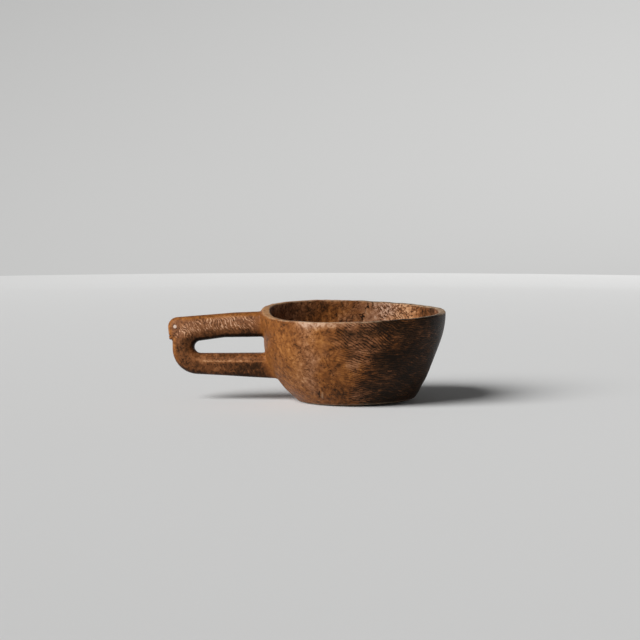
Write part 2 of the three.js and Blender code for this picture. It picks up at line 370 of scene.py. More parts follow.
def handle_field(x, y, z):
    """The loop: a bar with a soft ridge along its side, a sloping outer facet and worn edges."""
    root = BOWL_SHIFT - BOWL_HALF_LENGTH
    half_width = HANDLE_HALF_WIDTH * (1 + ROOT_SPREAD * smoothstep(x, root - SPREAD_LENGTH, root))
    outside, slot = LOOP.at(x, z), SLOT.at(x, z)
    from_ridge = slot - handle_ridge(z)
    fall = SLOPE_OUT * from_ridge - (SLOPE_OUT + SLOPE_IN) * soft_minimum(from_ridge, RIDGE_SOFTNESS)
    side = (np.abs(y) - half_width + fall) / math.hypot(1, SLOPE_IN)
    reach, drop = TOP_FACET
    facet = ((np.abs(y) - half_width) / reach + outside / drop + 1) / math.hypot(1 / reach, 1 / drop)
    bar = cut(cut(outside, facet, FACET_EDGE), side, FACET_EDGE)
    bar = cut(bar, cut(outside, side, SIDE_EDGE), 1)
    return cut(bar, -slot, SLOT_EDGE)


def segment_gap(u, v, start, end):
    """Distance in a plane to a straight segment."""
    (au, av), (bu, bv) = start, end
    along = ((u - au) * (bu - au) + (v - av) * (bv - av)) / ((bu - au) ** 2 + (bv - av) ** 2)
    along = np.clip(along, 0, 1)
    return np.hypot(u - au - along * (bu - au), v - av - along * (bv - av))


def check_gap(x, y, z, outer):
    """Distance sideways to the drying check in the front of the bowl's outside."""
    wander = CHECK_WANDER * np.sin(z / 3)
    in_front = (y < 0) & (outer > -CHECK_REACH)
    return np.where(in_front, segment_gap(x + wander, z, *CHECK), NOWHERE_NEAR)


def notch_gap(x, z):
    """Distance sideways to the knife line above the lip."""
    return segment_gap(x, z, *NOTCH)


def worn_spot_gap(x, y, z):
    """Distance sideways to the middle of the pale worn spot."""
    return np.where(y < 0, np.hypot(x - WORN_SPOT_X, z - WORN_SPOT_Z), NOWHERE_NEAR)


def scored(body, gap, half_width, depth):
    """Cuts a narrow groove into the surface, tapering with depth."""
    groove = np.maximum(gap - half_width * np.clip(1 + body / depth, 0, 1), -body - depth)
    return np.maximum(body, -groove)


def unevenness(x, y, z):
    """Slow waves left by the carving, from -1 to 1."""
    first = np.sin(x / 21 + 1.1 * np.sin(z / 27) + y / 43) * np.sin(y / 24 - z / 33 + 0.7)
    second = np.sin(x / 11 - y / 13 + 2.0) * np.sin(z / 12 + x / 37 + 1.9 * np.sin(y / 31))
    return 0.65 * first + 0.35 * second


def knife_wobble(angle):
    """Small waves along the rim, long ones and short ones."""
    long_waves = np.sin(17 * angle + 2 * np.sin(5 * angle))
    short_waves = np.sin(37 * angle + 3 * np.sin(7 * angle))
    return long_waves + 0.6 * short_waves


def fields(x, y, z):
    """The separate fields that the carving is put together from."""
    radius, height, angle = level_coordinates(x, y, z, BOWL_SHIFT)
    at_handle = np.exp(-(((np.pi - np.abs(angle)) / ROOT_SPAN) ** 2))
    at_far_end = np.exp(-((angle / ROOT_SPAN) ** 2))
    rise = ROOT_UP * at_handle + FAR_UP * at_far_end
    wobble = knife_wobble(angle)
    inner_radius, inner_height, _ = level_coordinates(x, y, z, BOWL_SHIFT + INSIDE_SHIFT)
    return {
        "outer": OUTER.at(radius, height) - ROOT_OUT * at_handle * smoothstep(height, ROOT_LOW, ROOT_HIGH),
        "top": height - RIM_HEIGHT - rise - RIM_WOBBLE * wobble,
        "at_handle": at_handle,
        "hollow": HOLLOW.at(inner_radius, inner_height),
        "handle": handle_field(x, y, z),
        "radius": radius,
        "height": height,
    }


def carving(x, y, z):
    """Signed distance to the whole carving, negative in the wood."""
    part = fields(x, y, z)
    uneven = unevenness(x, y, z)
    above_base = smoothstep(z, *LEVEL_UNTIL)
    outer = part["outer"] + WAVINESS * uneven * above_base
    hollow = part["hollow"] + HOLLOW_WAVINESS * unevenness(y + 40, x - 25, z)
    body = join(outer, part["handle"], ROOT_FILLET)
    body = cut(body, -z, BASE_EDGE)
    body = cut(body, part["top"], RIM_EDGE + ROOT_SOFTENING * part["at_handle"])
    body = cut(body, -hollow, RIM_EDGE)
    body = scored(body, check_gap(x, y, z, part["outer"]), CHECK_HALF_WIDTH, CHECK_DEPTH)
    return scored(body, notch_gap(x, z), NOTCH_HALF_WIDTH, NOTCH_DEPTH)


# ---- Meshing the field ----
CORNERS = [(i, j, k) for i in (0, 1) for j in (0, 1) for k in (0, 1)]
EDGES = [
    (a, b)
    for a in CORNERS
    for b in CORNERS
    if sum(b) - sum(a) == 1 and all(q >= p for p, q in zip(a, b))
]


def corner_values(values, corner):
    """The value at one corner of every grid cell."""
    return values[tuple(slice(o, size - 1 + o) for o, size in zip(corner, values.shape))]


def cell_points(values, cells):
    """One vertex in every given grid cell: the mean of the places where the surface crosses its edges."""
    total, count = np.zeros(cells.shape), np.zeros(len(cells))
    for a, b in EDGES:
        va, vb = (values[tuple((cells + c).T)] for c in (a, b))
        crossed = (va < 0) != (vb < 0)
        share = np.where(crossed, va / np.where(crossed, va - vb, 1), 0)
        total += crossed[:, None] * (np.array(a) + share[:, None] * (np.array(b) - np.array(a)))
        count += crossed
    return cells + total / count[:, None]


def crossing_quads(values, index, axis):
    """One quad across every grid edge along an axis that the surface crosses, facing outwards."""
    u, v = (axis + 1) % 3, (axis + 2) % 3
    crossed = (values < 0) != (np.roll(values, -1, axis=axis) < 0)
    crossed[tuple(slice(-1, None) if a == axis else slice(None) for a in range(3))] = False
    at = np.argwhere(crossed)
    du, dv = np.eye(3, dtype=int)[u], np.eye(3, dtype=int)[v]
    quad = np.stack([index[tuple((at - o).T)] for o in (du + dv, dv, 0 * du, du)], 1)
    leaving = values[tuple(at.T)] < 0
    return np.where(leaving[:, None], quad, quad[:, ::-1])


def surface_net(values, low, step):
    """The surface where the values cross 0, as vertices and quads."""
    inside = sum((corner_values(values, c) < 0).astype(np.int8) for c in CORNERS)
    cells = np.argwhere((inside > 0) & (inside < len(CORNERS)))
    index = np.full(inside.shape, -1)
    index[tuple(cells.T)] = np.arange(len(cells))
    points = low + cell_points(values, cells) * step
    return points, np.concatenate([crossing_quads(values, index, axis) for axis in range(3)])


def field_slope(points):
    """How fast the carving's field grows along each axis."""
    slope = np.empty_like(points)
    for axis in range(3):
        offset = SLOPE_STEP * np.eye(3)[axis]
        rise = carving(*(points + offset).T) - carving(*(points - offset).T)
        slope[:, axis] = rise / (2 * SLOPE_STEP)
    return slope


def onto_surface(points):
    """Moves points along the field's slope onto the surface."""
    slope = field_slope(points)
    step = carving(*points.T) / np.maximum((slope**2).sum(1), FLATTEST_SLOPE)
    return points - np.clip(step, -CELL, CELL)[:, None] * slope


def relaxed(points, quads):
    """Spreads the vertices evenly along the surface."""
    pairs = np.concatenate([quads[:, [i, (i + 1) % 4]] for i in range(4)])
    total = np.zeros_like(points)
    count = np.bincount(pairs.ravel(), minlength=len(points))
    for axis in range(3):
        total[:, axis] = np.bincount(pairs[:, 0], points[pairs[:, 1], axis], len(points))
        total[:, axis] += np.bincount(pairs[:, 1], points[pairs[:, 0], axis], len(points))
    slope = field_slope(points)
    slope /= np.linalg.norm(slope, axis=1, keepdims=True)
    step = total / count[:, None] - points
    along = step - (step * slope).sum(1, keepdims=True) * slope
    return points + RELAX_SHARE * along


def subdivided(points, faces, chosen, cuts):
    """Splits the chosen faces into smaller ones."""
    build = bmesh.new()
    verts = [build.verts.new(point) for point in points]
    made = [build.faces.new([verts[i] for i in face]) for face in faces]
    edges = {edge for face, wanted in zip(made, chosen) if wanted for edge in face.edges}
    bmesh.ops.subdivide_edges(build, edges=list(edges), cuts=cuts, use_grid_fill=True)
    build.verts.index_update()
    new_points = np.array([tuple(vert.co) for vert in build.verts])
    new_faces = [[vert.index for vert in face.verts] for face in build.faces]
    build.free()
    return new_points, new_faces


def face_centres(points, faces):
    return np.array([points[face].mean(0) for face in faces])


def carved_surface():
    """The carving's mesh: even quads, split finer along the rim and round the small marks."""
    low = np.array(cad_low) / MM - MARGIN
    high = np.array(cad_high) / MM + MARGIN
    axes = [np.arange(a, b, CELL) for a, b in zip(low, high)]
    values = carving(*np.meshgrid(*axes, indexing="ij"))
    points, faces = surface_net(values, low, CELL)
    for _ in range(RELAX_ROUNDS):
        points = relaxed(onto_surface(points), faces)
    points = onto_surface(points)

    part = fields(*points[faces].mean(1).T)
    near_rim = np.maximum(part["top"], -part["top"] - RIM_EDGE) < 2 * RIM_EDGE
    points, faces = subdivided(points, faces, near_rim, RIM_CUTS)
    centres = face_centres(points, faces)
    checks = check_gap(*centres.T, fields(*centres.T)["outer"])
    scores = np.minimum(checks, notch_gap(centres[:, 0], centres[:, 2]))
    fine = (scores < MARK_MARGIN) | (worn_spot_gap(*centres.T) < WORN_SPOT_RADIUS + 1)
    points, faces = subdivided(points, faces, fine, MARK_CUTS)
    for _ in range(PROJECT_ROUNDS):
        points = onto_surface(points)
    return points, faces


def mesh_object(name, points, faces):
    mesh = bpy.data.meshes.new(name)
    mesh.from_pydata((points * MM).tolist(), [], faces)
    mesh.update()
    mesh.shade_smooth()
    made = bpy.data.objects.new(name, mesh)
    bpy.context.scene.collection.objects.link(made)
    return made


def set_attribute(piece, name, values):
    attribute = piece.data.attributes.new(name, "FLOAT", "POINT")
    attribute.data.foreach_set("value", np.asarray(values, np.float32))


def vertex_places(piece):
    """The vertices' X, Y and Z in millimetres."""
    flat = np.empty(len(piece.data.vertices) * 3)
    piece.data.vertices.foreach_get("co", flat)
    return flat.reshape(-1, 3).T / MM


# ---- Regions of the wood: 0 outside, 1 well inside. Each range says where one starts and is full ----
HOLLOW_RANGE = (-5, -2)
RIM_EDGE_RANGE = (-2.3, -1.1)
RIM_OUTSIDE_RANGE = (-1.5, -0.5)  # keeps the worn rim off the handle
RIM_TOP_RANGE = (-1.4, -0.3)
RIM_INSIDE_RANGE = (-4.5, -2.5)
UNDER_RIM_RANGE = (-15, -3)
BASE_WEAR_SPREAD = 1.9
PATCH_FRONT_RANGE = (20, 60)
PATCH_SKIN = 2  # how near the bowl's outside the soft patches stay
HANDLE_RANGE = (1, 14)
FACET_RANGE = (-9, -4)
FACET_HEIGHTS = (48, 64)
SLOT_RANGE = (-7.5, -2)
SLOT_HEIGHTS = (74, 84)
SCORE_RANGE = (-1.0, -0.4)
LOWER_ARM_RANGE = (-66, -60)  # minus the height
BELOW_RIDGE_RANGE = (0, 6)
BELOW_RIDGE_LENGTH = (-268, -245)
RIDGE_LINE_OFFSET = 0.5
RIDGE_LINE_SPREAD = 1.2
RIDGE_LINE_LENGTH = (-245, -215)
SHEEN_OUTER_RANGE = (-8, 0)
SHEEN_INNER_RANGE = (-18, -12)
SHEEN_HEIGHTS = (88, 100)
STREAK_RANGE = (-1.1, -0.5)


def bowl_regions(part):
    """The hollow, the rim's worn edges and the worn edge of the base."""
    edge = np.maximum(part["outer"], -part["hollow"]) + part["top"]
    off_handle = smoothstep(-part["outer"], *RIM_OUTSIDE_RANGE)
    base_gap = np.hypot(part["radius"] - BASE_RADIUS, part["height"] - EDGE_LIFT)
    return {
        "hollow": smoothstep(-np.abs(part["hollow"]), *HOLLOW_RANGE),
        "rim_edge": smoothstep(edge, *RIM_EDGE_RANGE) * off_handle,
        "rim_top": smoothstep(part["top"], *RIM_TOP_RANGE),
        "rim_inside": smoothstep(-part["hollow"], *RIM_INSIDE_RANGE),
        "under_rim": smoothstep(part["top"], *UNDER_RIM_RANGE),
        "base_wear": np.exp(-((base_gap / BASE_WEAR_SPREAD) ** 2)),
    }


def handle_regions(x, z, part):
    """The handle, its outer facet and the parts of its side that lie along the ridge."""
    outer = part["outer"]
    past_ridge = SLOT.at(x, z) - handle_ridge(z)
    facet = smoothstep(LOOP.at(x, z), *FACET_RANGE) * smoothstep(outer, 0, 8)
    lower_arm = smoothstep(-z, *LOWER_ARM_RANGE) * smoothstep(outer, 0, 5)
    below_ridge = smoothstep(past_ridge, *BELOW_RIDGE_RANGE) * lower_arm
    ridge_line = np.exp(-(((past_ridge + RIDGE_LINE_OFFSET) / RIDGE_LINE_SPREAD) ** 2)) * lower_arm
    sheen = smoothstep(past_ridge, *SHEEN_OUTER_RANGE) * smoothstep(-past_ridge, *SHEEN_INNER_RANGE)
    return {
        "handle": smoothstep(outer, *HANDLE_RANGE),
        "facet": facet * smoothstep(z, *FACET_HEIGHTS),
        "below_ridge": below_ridge * smoothstep(x, *BELOW_RIDGE_LENGTH),
        "ridge_line": ridge_line * smoothstep(x, *RIDGE_LINE_LENGTH),
        "sheen": sheen * smoothstep(outer, 2, 8) * smoothstep(z, *SHEEN_HEIGHTS),
    }


def soft_patches(x, y, z, part):
    """Paler and darker places in the front of the bowl."""
    patches = sum(
        change * np.exp(-(((x - at_x) / half_width) ** 2) - ((z - at_z) / half_height) ** 2)
        for at_x, at_z, half_width, half_height, change in PATCHES
    )
    return patches * smoothstep(-y, *PATCH_FRONT_RANGE) * (np.abs(part["outer"]) < PATCH_SKIN)


def marks_of_use(x, y, z, part):
    """Painted shade in the slot and the grooves, the pale scratch, and the pale spot with its painted
    glint.
    """
    in_slot = smoothstep(-np.abs(SLOT.at(x, z)), *SLOT_RANGE) * smoothstep(z, *SLOT_HEIGHTS)
    in_slot = in_slot * smoothstep(part["outer"], 0, 3)
    scores = np.minimum(check_gap(x, y, z, part["outer"]), notch_gap(x, z))
    streak = smoothstep(-segment_gap(x, z, *STREAK), *STREAK_RANGE)
    return {
        # painted shade: darker in the finger slot and in the grooves
        "shade_in_slot_and_grooves": np.maximum(in_slot, smoothstep(-scores, *SCORE_RANGE)),
        "patches": soft_patches(x, y, z, part),
        "streak": streak * (y < 0) * (part["outer"] > -1),
        "worn_spot_glint": smoothstep(-worn_spot_gap(x, y, z), -WORN_SPOT_RADIUS, -WORN_SPOT_RADIUS / 2),
    }


def mark_regions(piece):
    """Stores, at every vertex, how much it belongs to each region of the wood."""
    x, y, z = vertex_places(piece)
    part = fields(x, y, z)
    regions = {**bowl_regions(part), **handle_regions(x, z, part), **marks_of_use(x, y, z, part)}
    for name, values in regions.items():
        set_attribute(piece, name, values)


# ---- Wood ----
class Graph:
    """Adds nodes to a material and links them up."""

    def __init__(self, material):
        self.tree = material.node_tree

    def node(self, kind, inputs, **settings):
        made = self.tree.nodes.new(kind)
        for name, value in settings.items():
            setattr(made, name, value)
        for name, value in inputs.items():
            if isinstance(value, bpy.types.NodeSocket):
                self.tree.links.new(value, made.inputs[name])
            else:
                made.inputs[name].default_value = value
        return made

    def math(self, operation, a, b=0.0):
        return self.node("ShaderNodeMath", {0: a, 1: b}, operation=operation).outputs[0]

    def vector(self, operation, a, b):
        made = self.node("ShaderNodeVectorMath", {0: a, 1: b}, operation=operation)
        return made.outputs["Value" if operation == "DOT_PRODUCT" else "Vector"]

    def noise(self, place, scale, detail=2.0, roughness=0.5):
        inputs = {"Vector": place, "Scale": scale, "Detail": detail, "Roughness": roughness}
        return self.node("ShaderNodeTexNoise", inputs).outputs["Fac"]

    def fade(self, value, low, high):
        """0 below low and 1 above high, or the other way round where low is the larger."""
        inputs = {"Value": value, "From Min": low, "From Max": high}
        return self.node("ShaderNodeMapRange", inputs, interpolation_type="SMOOTHSTEP").outputs[0]

    def mix(self, share, a, b):
        inputs = {"Factor": share, 6: a, 7: b}
        return self.node("ShaderNodeMix", inputs, data_type="RGBA").outputs[2]

    def blend(self, share, a, b):
        inputs = {"Factor": share, 2: a, 3: b}
        return self.node("ShaderNodeMix", inputs, data_type="FLOAT").outputs[0]

    def colours(self, value, stops):
        made = self.node("ShaderNodeValToRGB", {"Fac": value})
        ramp = made.color_ramp
        while len(ramp.elements) < len(stops):
            ramp.elements.new(0.5)
        for element, (position, colour) in zip(ramp.elements, stops):
            element.position = position
            element.color = (*colour, 1)
        return made.outputs["Color"]

    def attribute(self, name):
        return self.node("ShaderNodeAttribute", {}, attribute_name=name).outputs["Fac"]

    def product(self, *values):
        total = values[0]
        for value in values[1:]:
            total = self.math("MULTIPLY", total, value)
        return total

    def total(self, *values):
        result = values[0]
        for value in values[1:]:
            result = self.math("ADD", result, value)
        return result

    def inverse(self, share):
        return self.math("SUBTRACT", 1.0, share)

    def swing(self, value, strength):
        """A noise's swing about its mean, scaled."""
        return self.product(self.math("SUBTRACT", value, 0.5), strength)

    def window(self, value, start, full_from, full_to, end):
        """1 in the middle of a range, fading to 0 at both of its ends."""
        return self.product(self.fade(value, start, full_from), self.fade(value, end, full_to))


def warped(graph, place, scale, reach):
    """The place pushed about by smooth noise, so that the figure flows."""
    push = graph.node("ShaderNodeTexNoise", {"Vector": place, "Scale": scale, "Detail": 2.0})
    centred = graph.vector("SUBTRACT", push.outputs["Color"], (0.5, 0.5, 0.5))
    return graph.vector("ADD", place, graph.vector("MULTIPLY", centred, (reach, reach, reach)))


def figure_lines(graph, place, across, spacing, swirl_scale, swirls, sharp):
    """Growth lines: straight ones stacked in one direction, bent into swirls by noise. 1 on a line."""
    along = graph.vector("DOT_PRODUCT", place, tuple(value / spacing for value in across))
    bend = graph.product(graph.noise(place, swirl_scale, detail=3.0), swirls)
    phase = graph.product(graph.total(along, bend), 2 * math.pi)
    return graph.fade(graph.math("SINE", phase), sharp, 1.0)


def pores(graph, place, scale, size):
    """Small dark flecks. 1 in a pore."""
    cells = graph.node("ShaderNodeTexVoronoi", {"Vector": place, "Scale": scale})
    return graph.fade(cells.outputs["Distance"], size, size * 0.45)


def worm_lines(graph, place, scale, width):
    """Thin winding lines where smooth noise crosses its mean. 1 on a line."""
    level = graph.math("ABSOLUTE", graph.math("SUBTRACT", graph.noise(place, scale, detail=3.0), 0.5))
    return graph.fade(level, width, width * 0.25)


# A tone says how pale the wood is, from 0 to 1. In each total below, every line is one part of the
# figure, with the tone it adds or takes away. Places are in metres.
OUTSIDE_GROUND = 0.635
HOLLOW_GROUND = 0.56
HANDLE_GROUND = 0.46


def outside_lines(graph, place, flow, x, z, lined):
    """Growth lines of the bowl's outside: slanting under the rim, level below, loose curls elsewhere."""
    level = figure_lines(
        graph, flow, across=(0.12, 0.1, 1.0), spacing=0.0031, swirl_scale=26, swirls=2.6, sharp=-0.1
    )
    slanting = figure_lines(
        graph, flow, across=(0.52, 0.15, 0.85), spacing=0.0036, swirl_scale=22, swirls=1.8, sharp=-0.1
    )
    curls = figure_lines(
        graph, flow, across=(0.3, 0.2, 0.2), spacing=0.0032, swirl_scale=70, swirls=5.0, sharp=0.2
    )
    across = graph.total(x, graph.product(graph.noise(place, 40), 0.03))
    near_rim = graph.product(graph.fade(z, 0.078, 0.096), graph.window(across, -0.065, -0.03, 0.05, 0.085))
    lines = graph.blend(near_rim, level, slanting)
    return graph.blend(lined, graph.product(curls, 0.45), lines)


def outside_pores(graph, place, flow, x):
    """Pores of the bowl's outside: in drifts, and few of them on the rim and by the handle."""
    dots = graph.product(pores(graph, flow, 380, size=0.36), graph.fade(graph.noise(place, 60), 0.42, 0.58))
    dots = graph.product(dots, graph.inverse(graph.product(graph.attribute("rim_top"), 0.8)))
    return graph.product(dots, graph.blend(graph.fade(x, -0.13, -0.09), 0.35, 1.0))


def outside_tone(graph, place, x, z):
    """The bowl's outside: plain and mottled towards the handle, lined on the far half."""
    flow = warped(graph, warped(graph, place, 22, reach=0.014), 95, reach=0.0045)
    lined = graph.fade(graph.total(x, graph.product(graph.noise(place, 16), 0.14)), 0.005, 0.075)
    mottle = graph.noise(flow, 19, detail=4.0, roughness=0.62)
    short_fleck = graph.noise(flow, 150, detail=3.0, roughness=0.6)
    long_flow = graph.vector("MULTIPLY", flow, (0.5, 0.5, 1.5))
    long_fleck = graph.noise(long_flow, 170, detail=3.0, roughness=0.6)
    fleck = graph.blend(lined, short_fleck, long_fleck)
    fleck_strength = graph.blend(lined, graph.blend(graph.fade(x, -0.13, -0.09), 0.55, 0.9), 1.25)
    lines = outside_lines(graph, place, flow, x, z, lined)
    patchy = graph.fade(graph.noise(flow, 85, detail=3.0, roughness=0.6), 0.34, 0.58)
    dots = outside_pores(graph, place, flow, x)
    # painted shade: the low wall away from the handle is darker
    low_on_front = graph.product(graph.fade(z, 0.045, 0.0), graph.fade(x, -0.07, -0.03))
    tone = graph.total(
        OUTSIDE_GROUND,
        graph.swing(mottle, graph.blend(lined, 0.6, 0.9)),
        graph.swing(fleck, fleck_strength),
        graph.product(lines, patchy, -0.42),
        graph.attribute("patches"),
        graph.product(dots, graph.blend(lined, -0.26, -0.36)),
        graph.product(low_on_front, -0.12),
    )
    return tone, lines, dots


def hollow_worms(graph, place, flow, x, y, z):
    """The hollow's dark worm-like lines, with one smooth patch that only a thin line crosses."""
    worms = graph.math(
        "MAXIMUM",
        worm_lines(graph, flow, 62, width=0.038),
        worm_lines(graph, flow, 118, width=0.034),
    )
    dense = graph.fade(graph.noise(place, 26, detail=2.0), 0.36, 0.56)
    smooth = graph.product(
        graph.window(x, -0.004, 0.010, 0.030, 0.044),
        graph.fade(y, 0.03, 0.07),
        graph.fade(z, 0.06, 0.09),
    )
    worms = graph.product(worms, dense, graph.inverse(graph.product(smooth, 0.8)))
    return graph.math("MAXIMUM", worms, graph.product(worm_lines(graph, flow, 30, width=0.014), smooth))


def hollow_tone(graph, place, x, y, z):
    """The hollow: strong dark figure on a mottled ground, palest across from the light."""
    flow = warped(graph, warped(graph, place, 30, reach=0.02), 140, reach=0.005)
    mottle = graph.noise(flow, 24, detail=4.0, roughness=0.6)
    fleck = graph.noise(flow, 170, detail=3.0, roughness=0.6)
    upright_flow = graph.vector("MULTIPLY", flow, (1.6, 1.6, 0.4))
    upright = graph.noise(upright_flow, 120, detail=3.0, roughness=0.6)
    worms = hollow_worms(graph, place, flow, x, y, z)
    specks = graph.product(pores(graph, flow, 300, size=0.34), graph.fade(graph.noise(place, 45), 0.4, 0.6))
    pale = graph.window(x, -0.02, 0.02, 0.075, 0.112)
    tone = graph.total(
        HOLLOW_GROUND,
        graph.product(pale, 0.27),
        graph.product(graph.fade(x, 0.085, 0.11), -0.04),
        graph.swing(mottle, 1.15),
        graph.swing(fleck, 0.9),
        graph.product(worms, graph.blend(pale, -0.2, -0.56)),
        graph.swing(upright, graph.blend(pale, 0.8, 0.2)),
        graph.product(specks, -0.3),
    )
    return tone, worms, pale


def handle_tone(graph, place):
    """The gripped wood: darker, with short pale curly marks across the arms."""
    flow = warped(graph, warped(graph, place, 40, reach=0.010), 150, reach=0.004)
    mottle = graph.noise(flow, 26, detail=4.0, roughness=0.6)
    fleck = graph.noise(flow, 180, detail=3.0, roughness=0.65)
    marks = figure_lines(
        graph, flow, across=(0.85, 0.1, 0.52), spacing=0.0036, swirl_scale=78, swirls=3.4, sharp=-0.1
    )
    broken = graph.fade(graph.noise(flow, 120, detail=3.0, roughness=0.6), 0.38, 0.54)
    marks = graph.product(marks, broken)
    dots = graph.product(pores(graph, flow, 360, size=0.34), graph.fade(graph.noise(place, 60), 0.4, 0.58))
    tone = graph.total(
        HANDLE_GROUND,
        graph.swing(mottle, 0.62),
        graph.swing(fleck, 0.9),
        # painted sheen: along the upper arm's up-facing band by the ridge, the pale marks are stronger and
        # the tone paler
        graph.product(marks, graph.blend(graph.attribute("sheen"), 0.09, 0.38)),
        graph.product(graph.attribute("sheen"), 0.09),
        # painted shade below the lower arm's ridge, and a painted highlight along the ridge
        graph.product(graph.attribute("below_ridge"), -0.08),
        graph.product(graph.attribute("ridge_line"), graph.fade(fleck, 0.22, 0.48), 0.42),
        graph.product(dots, -0.36),
    )
    return tone, marks, dots


# Colours along the tone, from dark to pale
ORANGE_WOOD = [
    (0.0, (0.009, 0.004, 0.001)),
    (0.28, (0.045, 0.016, 0.004)),
    (0.55, (0.176, 0.059, 0.014)),
    (0.78, (0.298, 0.114, 0.028)),
    (1.0, (0.490, 0.235, 0.080)),
]
PURPLE_WOOD = [
    (0.0, (0.009, 0.004, 0.001)),
    (0.28, (0.042, 0.018, 0.007)),
    (0.55, (0.162, 0.066, 0.030)),
    (0.78, (0.305, 0.150, 0.080)),
    (1.0, (0.520, 0.330, 0.225)),
]
WORN_RIM = (0.40, 0.265, 0.16, 1)
WORN_BASE = (0.34, 0.24, 0.16, 1)
# colour of the worn spot at the handle's end: a painted glint
WORN_SPOT_GLINT = (0.50, 0.39, 0.32, 1)

# darkening of the far half: mostly painted shade on the side away from the light, partly the wood's own
# stain
FAR_HALF_SHADE_AND_STAIN = 0.47
BASE_ROUGHNESS = 0.30
SPECULAR_LEVEL = 0.1
BUMP_STRENGTH = 0.55
BUMP_DISTANCE = 0.0007


def wood_places(graph):
    """Where a point of the wood is: its coordinates, and the regions that several parts of the look use."""
    place = graph.node("ShaderNodeTexCoord", {}).outputs["Object"]
    axes = graph.node("ShaderNodeSeparateXYZ", {0: place}).outputs
    x, y, z = axes["X"], axes["Y"], axes["Z"]
    hollow = graph.product(graph.attribute("hollow"), graph.inverse(graph.attribute("rim_top")))
    # the band just under the rim's front, where a pale sheen is painted
    under_rim = graph.product(
        graph.attribute("under_rim"),
        graph.inverse(hollow),
        graph.window(x, -0.10, -0.075, -0.01, 0.045),
        graph.fade(y, 0.0, -0.05),
    )
    return SimpleNamespace(
        place=place,
        x=x,
        y=y,
        z=z,
        handle=graph.attribute("handle"),
        hollow=hollow,
        under_rim=under_rim,
        at_root=graph.fade(x, -0.105, -0.128),
        front_right=graph.product(graph.window(x, 0.02, 0.05, 0.112, 0.128), graph.fade(y, 0.0, -0.03)),
    )


def painted_light_and_wear(graph, at, tone):
    """The tone with the far half darkened (mostly painted shade on the side away from the light, partly a
    real stain), a painted sheen under the rim, painted shade under the handle and in the slot and grooves,
    and painted light on the handle's outer facet.
    """
    # the far half darker: mostly painted shade on the side away from the light, partly a real stain
    shade_and_stain_noise = graph.noise(at.place, 13, detail=4.0, roughness=0.6)
    shade_and_stain_edge = graph.total(at.x, graph.product(shade_and_stain_noise, 0.11))
    shaded_and_stained = graph.product(graph.fade(shade_and_stain_edge, 0.022, 0.118), graph.inverse(at.hollow))
    # painted shade: the handle's sides that face downwards are darker
    normal = graph.node("ShaderNodeNewGeometry", {}).outputs["Normal"]
    facing = graph.node("ShaderNodeSeparateXYZ", {0: normal}).outputs["Z"]
    downwards = graph.fade(facing, -0.1, -0.9)
    return graph.total(
        graph.math("SUBTRACT", tone, graph.product(shaded_and_stained, FAR_HALF_SHADE_AND_STAIN)),
        graph.product(downwards, at.handle, -0.16),
        # painted sheen: the band under the rim's front is paler
        graph.product(at.under_rim, 0.34),
        graph.product(graph.attribute("rim_top"), at.at_root, 0.26),
        graph.product(graph.attribute("rim_top"), at.front_right, -0.18),
        # painted light: the handle's outer facet, which slopes up towards the light, is paler
        graph.product(graph.attribute("facet"), 0.16),
        # painted shade in the finger slot and in the grooves
        graph.product(graph.attribute("shade_in_slot_and_grooves"), -0.46),
    )


def purple_share(graph, at, pale):
    """Where the wood is purplish rather than orange: partly its own colour, partly painted light and shade.
    """
    # purplish drifts, partly a painted pinkish sheen over the middle and the far half
    drifts = graph.fade(graph.noise(at.place, 17, detail=3.0, roughness=0.55), 0.42, 0.60)
    drifts = graph.product(drifts, graph.fade(at.x, -0.10, -0.06))
    return graph.total(
        graph.product(drifts, 0.7),
        graph.product(at.handle, 0.4),
        # painted light on the handle: pinker along its painted sheen, oranger on its lit outer facet
        graph.product(graph.attribute("sheen"), 0.3),
        graph.product(graph.attribute("facet"), -0.4),
        # in the hollow: pinker where painted light falls, and greyer at the end by the handle as painted
        # shade
        graph.product(pale, at.hollow, 0.45),
        graph.product(graph.fade(at.x, 0.08, 0.11), at.hollow, 0.35),
        graph.product(graph.fade(at.x, -0.07, -0.10), at.hollow, 0.8),
        # the painted sheen under the rim is pinker
        graph.product(at.under_rim, 0.75),
    )


def worn_places(graph, at, wood):
    """Rubbed, paler wood along the rim and the base and on the scratch, and the worn spot with its painted
    glint.
    """
    rub = graph.fade(graph.noise(at.place, 210, detail=3.0), 0.25, 0.6)
    patches = graph.fade(graph.noise(at.place, 48, detail=3.0, roughness=0.6), 0.36, 0.58)
    inside_only = graph.attribute("rim_inside")
    rim_share = graph.total(
        0.3,
        graph.product(graph.fade(at.x, 0.06, 0.11), 0.6),
        graph.product(at.at_root, 0.12),
    )
    rim_share = graph.blend(at.front_right, rim_share, graph.product(inside_only, 0.95))
    edge_share = graph.product(graph.blend(at.front_right, 1.0, inside_only), 0.6)
    wood = graph.mix(graph.product(graph.attribute("rim_top"), rub, rim_share), wood, WORN_RIM)
    wood = graph.mix(graph.product(graph.attribute("rim_edge"), patches, rub, edge_share), wood, WORN_RIM)
    wood = graph.mix(graph.product(graph.attribute("base_wear"), rub, 0.7), wood, WORN_BASE)
    wood = graph.mix(graph.product(graph.attribute("streak"), rub, 0.6), wood, WORN_RIM)
    return graph.mix(graph.attribute("worn_spot_glint"), wood, WORN_SPOT_GLINT)


def wood_relief(graph, place, dark_lines, pale_marks, dots):
    """Fine grain, with the dark lines and pores slightly sunk."""
    grain = graph.noise(warped(graph, place, 120, reach=0.004), 520, detail=3.0, roughness=0.6)
    height = graph.total(
        graph.product(grain, 0.55),
        graph.product(dark_lines, -0.28),
        graph.product(pale_marks, 0.2),
        graph.product(dots, -0.6),
    )
    inputs = {"Height": height, "Strength": BUMP_STRENGTH, "Distance": BUMP_DISTANCE}
    return graph.node("ShaderNodeBump", inputs).outputs[0]


